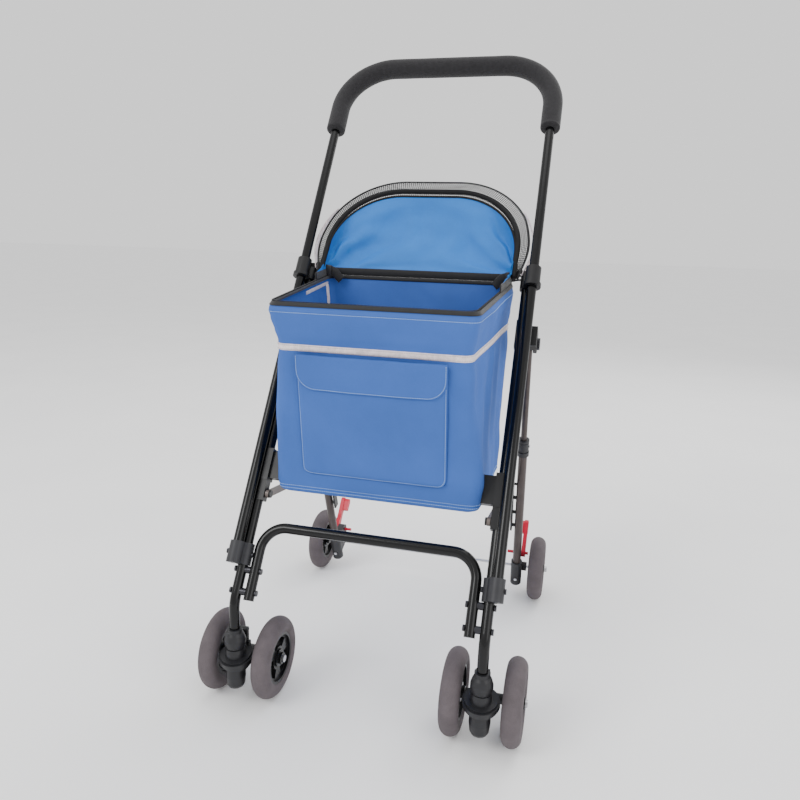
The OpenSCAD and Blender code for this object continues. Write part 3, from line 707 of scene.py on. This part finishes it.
def make_floor_pad():
    """Quilted mat over the bottom board."""
    nx, ny = 72, 54
    half_x, half_y = (FLOOR_HI.x - FLOOR_LO.x) / 2, (FLOOR_HI.y - FLOOR_LO.y) / 2
    cx, cy = (FLOOR_HI.x + FLOOR_LO.x) / 2, (FLOOR_HI.y + FLOOR_LO.y) / 2
    base = FLOOR_LO.z + 0.4 * MM
    top, bottom = [], []
    for j in range(ny + 1):
        for i in range(nx + 1):
            u, w = 2 * i / nx - 1, 2 * j / ny - 1
            reach = (abs(u) ** 8 + abs(w) ** 8) ** (1 / 8)
            squeeze = max(abs(u), abs(w)) / reach if reach else 1
            x, y = cx + u * half_x * squeeze, cy + w * half_y * squeeze
            edge = smooth((1 - max(abs(u), abs(w))) / 0.07)
            quilt = min(abs(math.sin((x + y) * math.pi / 0.062)), abs(math.sin((x - y) * math.pi / 0.062)))
            rise = edge * (3.2 + 3.2 * min(quilt * 1.7, 1) ** 0.6) * MM
            top.append(Vector((x, y, base + 0.6 * MM + rise)))
            bottom.append(Vector((x, y, base)))
    pad = piece("floor_pad", top + bottom, panel_faces(nx, ny), MATERIALS["board"], "frame", "board")
    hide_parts("basket_floor")


make_floor_pad()


# ---------------------------------------------------------------- pocket and flap

FACE_LEAN = math.atan2(FRONT_Y[0] - FRONT_Y[1], RIM_FRONT_Z - SHELL_LO.z - 17 * MM)
FACE_UP = Vector((0, -math.sin(FACE_LEAN), math.cos(FACE_LEAN)))
FACE_OUT = Vector((0, -math.cos(FACE_LEAN), -math.sin(FACE_LEAN)))
FACE_BASE = Vector((0, FRONT_Y[0], SHELL_LO.z + 16 * MM))
POCKET_HALF = POCKET_HI.x
POCKET_LOW = 20 * MM
POCKET_TALL = 188 * MM
FLAP_HALF = FLAP_HI.x
FLAP_LOW = 160 * MM
FLAP_TALL = 54 * MM
SHEET_ROUND = 1.2 * MM  # over which a panel's edge rounds off


def on_face(x, up, out):
    return FACE_BASE + Vector((x, 0, 0)) + FACE_UP * up + FACE_OUT * out


def pocket_rise(x, up):
    """How far the pocket's front stands off the wall: a soft bellows, fuller below the flap."""
    u = x / POCKET_HALF
    w = (up - POCKET_LOW) / POCKET_TALL
    edge = smooth((1 - abs(u)) / 0.05) * smooth(w / 0.05)
    crown = (1 - u * u) * math.sin(math.pi * min(max(w, 0), 1) * 0.72 + 0.25)
    wrinkle = noise.noise(Vector((x * 26, up * 15, 3.0))) * 1.5
    wrinkle += noise.noise(Vector((x * 70 + up * 45, up * 30, 9))) * 0.5
    return (1.0 + edge * (3.4 + 3.6 * crown + wrinkle)) * MM


def sheet_patch(name, half, low, tall, corner, rise, thick, material, body, slot, nx=90, nz=70):
    """A cloth panel on the front wall: outline with rounded lower corners, front and back faces joined."""
    front, back = [], []
    for j in range(nz + 1):
        w = j / nz
        up = low + tall * w
        width = half
        if up - low < corner:
            drop = corner - (up - low)
            width = half - corner + math.sqrt(max(corner ** 2 - drop ** 2, 0))
        for i in range(nx + 1):
            u = 2 * i / nx - 1
            x = width * math.copysign(abs(u) ** 0.92, u)
            lift = rise(x, up)
            edge = min(1.0, (width - abs(x)) / SHEET_ROUND, (up - low) / SHEET_ROUND,
                       (low + tall - up) / SHEET_ROUND)
            round_off = thick / 2 * math.sqrt(max(edge, 0))
            front.append(on_face(x, up, lift + thick / 2 + round_off))
            back.append(on_face(x, up, lift + thick / 2 - round_off))
    return piece(name, front + back, panel_faces(nx, nz), material, body, slot)


def rounded_path(half, low, top, corner, rise, out, steps=10, points=70):
    """The line down one side, along the bottom and up the other, on the face at the given lift."""
    line = []
    for k in range(points):
        line.append((-half, lerp(top, low + corner, k / points)))
    for k in range(steps):
        a = math.pi + math.pi / 2 * k / steps
        line.append((-half + corner + corner * math.cos(a), low + corner + corner * math.sin(a)))
    for k in range(points):
        line.append((lerp(-half + corner, half - corner, k / points), low))
    for k in range(steps):
        a = -math.pi / 2 + math.pi / 2 * k / steps
        line.append((half - corner + corner * math.cos(a), low + corner + corner * math.sin(a)))
    for k in range(points + 1):
        line.append((half, lerp(low + corner, top, k / points)))
    return [on_face(x, up, rise(x, up) + out) for x, up in line]


def make_pocket():
    def lift(x, up):
        return pocket_rise(x, up) - 0.6 * MM
    pocket = sheet_patch("pocket_cloth", POCKET_HALF, POCKET_LOW, POCKET_TALL, 16 * MM, lift, 1.4 * MM,
                         MATERIALS["basket_fabric"], "frame", "basket_fabric")
    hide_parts("pocket_body")
    # gusset: a skirt from the front panel's edge back to the wall
    outer = rounded_path(POCKET_HALF - 0.5 * MM, POCKET_LOW + 0.5 * MM, POCKET_LOW + POCKET_TALL, 16 * MM,
                         lambda x, up: lift(x, up), 0.4 * MM)
    inner = rounded_path(POCKET_HALF - 3.5 * MM, POCKET_LOW + 3.5 * MM, POCKET_LOW + POCKET_TALL, 14 * MM,
                         lambda x, up: 0, -0.6 * MM)
    back = rounded_path(POCKET_HALF - 5 * MM, POCKET_LOW + 5 * MM, POCKET_LOW + POCKET_TALL, 13 * MM,
                        lambda x, up: 0, -0.6 * MM)
    core = rounded_path(POCKET_HALF - 4 * MM, POCKET_LOW + 4 * MM, POCKET_LOW + POCKET_TALL, 14 * MM,
                        lambda x, up: lift(x, up), 0.4 * MM)
    rows = [outer, inner, back, core]
    verts = [p for row in rows for p in row]
    count = len(outer)
    faces = grid_faces(4, count, wrap_rows=True)
    faces += [tuple(r * count for r in range(4)), tuple(r * count + count - 1 for r in range(4))]
    piece("pocket_gusset", verts, faces, MATERIALS["basket_fabric"], "frame", "basket_fabric")
    seam = rounded_path(POCKET_HALF - 3 * MM, POCKET_LOW + 3 * MM, POCKET_LOW + POCKET_TALL - 4 * MM, 14 * MM,
                        lift, 1.5 * MM)
    piece("pocket_stitches", *stitch_row(seam, FACE_OUT), THREAD, "frame", "basket_fabric")


def flap_rise(x, up):
    hang = 1 - smooth((up - FLAP_LOW) / FLAP_TALL)
    ripple = noise.noise(Vector((x * 22, up * 10, 21))) * 0.8 * hang
    below = pocket_rise(x * 0.97, min(up, POCKET_LOW + POCKET_TALL - 10 * MM))
    return below + (1.3 + 0.5 * hang + ripple * 0.6) * MM


def make_flap():
    flap = sheet_patch("flap_cloth", FLAP_HALF, FLAP_LOW, FLAP_TALL, 30 * MM, flap_rise, 2.0 * MM,
                       MATERIALS["basket_fabric"], "flap", "basket_fabric", nx=100, nz=30)
    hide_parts("pocket_flap")
    seam = rounded_path(FLAP_HALF - 2.6 * MM, FLAP_LOW + 2.6 * MM, FLAP_LOW + FLAP_TALL - 2 * MM,
                        27.4 * MM, flap_rise, 2.05 * MM)
    piece("flap_stitches", *stitch_row(seam, FACE_OUT), THREAD, "flap", "basket_fabric")


make_pocket()
make_flap()


# ---------------------------------------------------------------- hood

HOOD_JOINT = next(j for j in frame["joints"] if j["name"] == "hood_fold")
PIVOT = Vector(HOOD_JOINT["pos_m"])
HOOD_TILT = math.radians(38)
HOOD_UP = Vector((0, math.sin(HOOD_TILT), math.cos(HOOD_TILT)))
HOOD_BACK = Vector((0, math.cos(HOOD_TILT), -math.sin(HOOD_TILT)))
HOOD_HALF = 168 * MM
HOOD_TALL = 180 * MM
HOOD_BEND = 120 * MM
FOLD = 7.5  # depth of the gathers, in mm


def arch(t, grow=0.0):
    """Point of the bow in the hood's plane, t from 0 at one pivot to 1 at the other; grow widens it."""
    straight = HOOD_TALL - HOOD_BEND
    bend = HOOD_BEND + grow
    top = 2 * (HOOD_HALF - HOOD_BEND)
    arc = bend * math.pi / 2
    along = t * (2 * straight + 2 * arc + top)
    if along <= straight:
        x, h = -HOOD_HALF - grow, along
    elif along <= straight + arc:
        a = (along - straight) / bend
        x, h = -HOOD_HALF + HOOD_BEND - bend * math.cos(a), straight + bend * math.sin(a)
    elif along <= straight + arc + top:
        x, h = -HOOD_HALF + HOOD_BEND + (along - straight - arc), straight + bend
    else:
        x, h = arch(1 - t, grow)
        return -x, h
    return x, h


def hood_point(x, h, back=0.0):
    return PIVOT + Vector((x, 0, 0)) + HOOD_UP * h + HOOD_BACK * back


def make_bow():
    line = [hood_point(*arch(k / 120)) for k in range(121)]
    verts, faces = sweep(line, HOOD_BACK, round_section(4.4 * MM, 14))
    bow = piece("hood_bow_sleeve", verts, faces, MATERIALS["bow_black"], "hood", "bow_black")
    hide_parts("hood_bow")


def rear_line(t, lift):
    """The hood's lower edge: from one pivot round the back of the rim to the other."""
    first, last = BACK_RIGHT - ARC_STEPS - 12, BACK_LEFT + 12
    k = lerp(last, first, t)
    row = ring(1.0)
    low = int(k)
    a, b = row[low % COLUMNS], row[(low + 1) % COLUMNS]
    place = a[0].lerp(b[0], k - low)
    return place + Vector((0, 0, lift))


def make_hood_cloth():
    """Blue canopy cloth, gathered between the rear of the rim and the bow."""
    nt, ns = 150, 46
    front, back = [], []
    for i in range(ns + 1):
        s = i / ns
        for k in range(nt + 1):
            t = k / nt
            low = rear_line(t, 15 * MM)
            x, h = arch(t)
            ends = smooth(min(t, 1 - t) / 0.12)
            high = hood_point(x * 0.985, max(h - 13 * MM * ends, 8 * MM), -1 * MM)
            point = low.lerp(high, s)
            sag = math.sin(math.pi * s) * ends
            rise = (point - PIVOT).dot(HOOD_UP)
            left = math.atan2(rise + 0.01, point.x + HOOD_HALF + 0.02)
            right = math.atan2(rise + 0.01, HOOD_HALF + 0.02 - point.x)
            wander = noise.noise(Vector((t * 6, s * 3, 4))) * 1.6
            folds = math.sin(left * 11 + wander) * (1 - smooth(t * 1.5))
            folds += math.sin(right * 12 - wander) * smooth(t * 1.5 - 0.5)
            held = smooth(s / 0.1) * smooth((1 - s) / 0.25)
            folds = math.copysign(abs(folds) ** 0.75, folds) * FOLD * held
            ripples = noise.noise(Vector((t * 22, s * 5, 1))) * 4 * sag
            drape = HOOD_BACK * ((9 * sag + folds * ends + ripples) * MM)
            lifted = point + drape
            out = HOOD_BACK * 0.5 * MM
            front.append(lifted - out)
            back.append(lifted + out)
    cloth = piece("hood_cloth", front + back, panel_faces(nt, ns), MATERIALS["hood_fabric"], None,
                  "hood_fabric")
    rear_line(0.5, 15 * MM)
    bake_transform(cloth)
    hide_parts("hood_panel")
    return cloth


def net(name, inner, outer, rows, columns, body):
    """Open net between two edge lines, as crossing strands."""
    bm = bmesh.new()
    verts = []
    for i in range(rows + 1):
        for k in range(columns + 1):
            t = k / columns
            verts.append(bm.verts.new(inner(t).lerp(outer(t), i / rows)))
    for face in grid_faces(rows + 1, columns + 1):
        bm.faces.new([verts[i] for i in face])
    bm.normal_update()
    bmesh.ops.wireframe(bm, faces=bm.faces, thickness=1.2 * MM, offset=0, use_replace=True,
                        use_boundary=True, use_even_offset=True, use_crease=False)
    mesh = bpy.data.meshes.new(name)
    bm.to_mesh(mesh)
    bm.free()
    mesh.materials.append(NET)
    obj = bpy.data.objects.new(name, mesh)
    bpy.context.scene.collection.objects.link(obj)
    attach(obj, body)
    return obj


def make_hood_trim():
    def bow_edge(t):
        return hood_point(*arch(t), back=1 * MM)

    def outer_edge(t):
        near = min(t, 1 - t)
        ends = smooth(near / 0.2)
        flare = math.exp(-((near - 0.07) / 0.06) ** 2) * 8 * MM
        x, h = arch(t, grow=(5 + 14 * ends) * MM + flare)
        return hood_point(x, h + 10 * MM * ends, back=(3 + 5 * ends) * MM)

    def lower_edge(t):
        x, h = arch(t)
        ends = smooth(min(t, 1 - t) / 0.12)
        return hood_point(x * 0.985, max(h - 13 * MM * ends, 8 * MM), -1 * MM)

    upper = net("hood_net_upper", bow_edge, outer_edge, 8, 170, "hood")
    lower = net("hood_net_lower", lower_edge, bow_edge, 4, 170, "hood")

    edge = [outer_edge(k / 120) for k in range(121)]
    piece("hood_edge_binding", *sweep(edge, HOOD_BACK, strap_section(3.6 * MM, 2.2 * MM)),
          MATERIALS["binding_black"], "hood", "binding_black")
    seam = [lower_edge(k / 120) - HOOD_BACK * 0.6 * MM for k in range(121)]
    piece("hood_seam_tape", *sweep(seam, HOOD_BACK, strap_section(4 * MM, 1.8 * MM)), MATERIALS["bow_black"],
          "hood", "bow_black")

    for name, side in (("hood_white_left", 1), ("hood_white_right", -1)):
        line, scale = [], []
        for k in range(25):
            t = 0.012 + 0.2 * k / 24
            point = outer_edge(t)
            swell = math.sin(math.pi * (0.12 + 0.78 * k / 24))
            point = point + HOOD_BACK * (2 + 3 * swell) * MM + Vector((-(3 + 4 * swell) * MM, 0, 0))
            line.append(Vector((point.x * side, point.y, point.z)))
            scale.append(0.35 + 0.75 * swell)
        up = Vector((-side, 0.3, 0.35)).normalized()
        piece(name, *sweep(line, up, strap_section(15 * MM, 1.6 * MM), scale), WHITE, "hood", "binding_black")


def make_rear_band():
    """Black webbing that ties the hood's lower edge along the rear of the rim."""
    line = [rear_line(k / 90, 10 * MM) for k in range(91)]
    normals = []
    for k in range(91):
        point = line[k]
        normals.append(Vector((point.x * 0.5, point.y + 0.05, 0)).normalized())
    piece("hood_rear_band", *sweep(line, normals, strap_section(13 * MM, 1.8 * MM)),
          MATERIALS["binding_black"], "frame", "binding_black")


def box_mesh(lo, hi, bevel):
    """A block with rounded edges."""
    bm = bmesh.new()
    bmesh.ops.create_cube(bm, size=1)
    for v in bm.verts:
        v.co = Vector([lerp(lo[i], hi[i], v.co[i] + 0.5) for i in range(3)])
    bmesh.ops.bevel(bm, geom=bm.edges[:], offset=bevel, segments=3, profile=0.6, affect="EDGES")
    verts = [v.co.copy() for v in bm.verts]
    faces = [tuple(v.index for v in f.verts) for f in bm.faces]
    bm.free()
    return verts, faces


def make_buckles():
    """Side-release buckle and strap end beside each hood pivot, behind the bow."""
    for side, tag in ((-1, "left"), (1, "right")):
        centre = hood_point(side * 167 * MM, 11 * MM, 12 * MM)
        turn = Matrix.Rotation(math.radians(180 if side < 0 else 0), 4, "Z")
        turn = Matrix.Rotation(math.radians(-side * 8), 4, "Y") @ turn
        place = Matrix.Translation(centre) @ turn
        parts = [
            box_mesh((-13 * MM, -3 * MM, -8.5 * MM), (3 * MM, 3 * MM, 8.5 * MM), 1.6 * MM),
            box_mesh((2 * MM, -2.2 * MM, -8 * MM), (15 * MM, 2.2 * MM, -5 * MM), 1 * MM),
            box_mesh((2 * MM, -2.2 * MM, 5 * MM), (15 * MM, 2.2 * MM, 8 * MM), 1 * MM),
            box_mesh((2 * MM, -1.6 * MM, -1.6 * MM), (14 * MM, 1.6 * MM, 1.6 * MM), 0.8 * MM),
            box_mesh((12 * MM, -3 * MM, -9 * MM), (17 * MM, 3 * MM, 9 * MM), 1.6 * MM),
        ]
        verts, faces = merge(parts)
        verts = [place @ v for v in verts]
        piece("hood_buckle_" + tag, verts, faces, MATERIALS["clamp_grey"], "frame", "clamp_grey")
        route = [(-34, 0.4, -13), (-28, 0.6, -9), (-22, 0.6, -3), (-17, 0.2, -0.5), (-12, 0, 0), (-4, 0, 0)]
        route = [Vector((a * MM, b * MM, c * MM)) for a, b, c in route]
        fine = []
        for a, b in zip(route, route[1:]):
            fine += [a.lerp(b, k / 4) for k in range(4)]
        fine.append(route[-1])
        verts, faces = sweep([place @ p for p in fine], (place.to_3x3() @ Vector((0, -1, 0))),
                             strap_section(15 * MM, 1.6 * MM))
        piece("hood_strap_" + tag, verts, faces, MATERIALS["binding_black"], "frame", "binding_black")


make_bow()
make_hood_cloth()
make_hood_trim()
make_rear_band()
make_buckles()


# ---------------------------------------------------------------- foam grip

def make_grip():
    """Foam sleeve over the handle's crossbar and bends, with rolled ends."""
    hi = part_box("foam_grip")[1]
    radius = 17.5 * MM
    bend = 96 * MM
    straight = 52 * MM
    rake = math.radians(32.7074)
    up = Vector((0, math.sin(rake), math.cos(rake)))
    out = Vector((0, -math.cos(rake), math.sin(rake)))
    half = hi.x - radius
    top = Vector((0, hi.y - radius, hi.z - radius))
    line = []
    for k in range(13):
        line.append((-half, lerp(-bend - straight, -bend, k / 12)))
    for k in range(1, 25):
        a = math.pi / 2 * k / 24
        line.append((-half + bend - bend * math.cos(a), -bend + bend * math.sin(a)))
    for k in range(1, 40):
        line.append((lerp(-half + bend, half - bend, k / 40), 0))
    line += [(-x, s) for x, s in reversed(line[:37])]
    path = [top + Vector((x, 0, 0)) + up * s for x, s in line]
    first, last = path[0], path[-1]
    down = -up
    ends = [(0.0, 0.78), (0.8, 0.9), (2.2, 0.97), (4.2, 1.0)]
    start = [first - down * a * MM for a, _ in ends]
    finish = [last - down * a * MM for a, _ in reversed(ends)]
    body = path[1:-1]
    points = start + body + finish
    scale = [k for _, k in ends]
    scale += [1 + 0.012 * noise.noise(p * 30) for p in body] + [k for _, k in reversed(ends)]
    verts, faces = sweep(points, out, round_section(radius, 40), scale)
    grip = piece("grip_foam", verts, faces, MATERIALS["foam"], "frame", "foam")
    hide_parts("foam_grip")


make_grip()
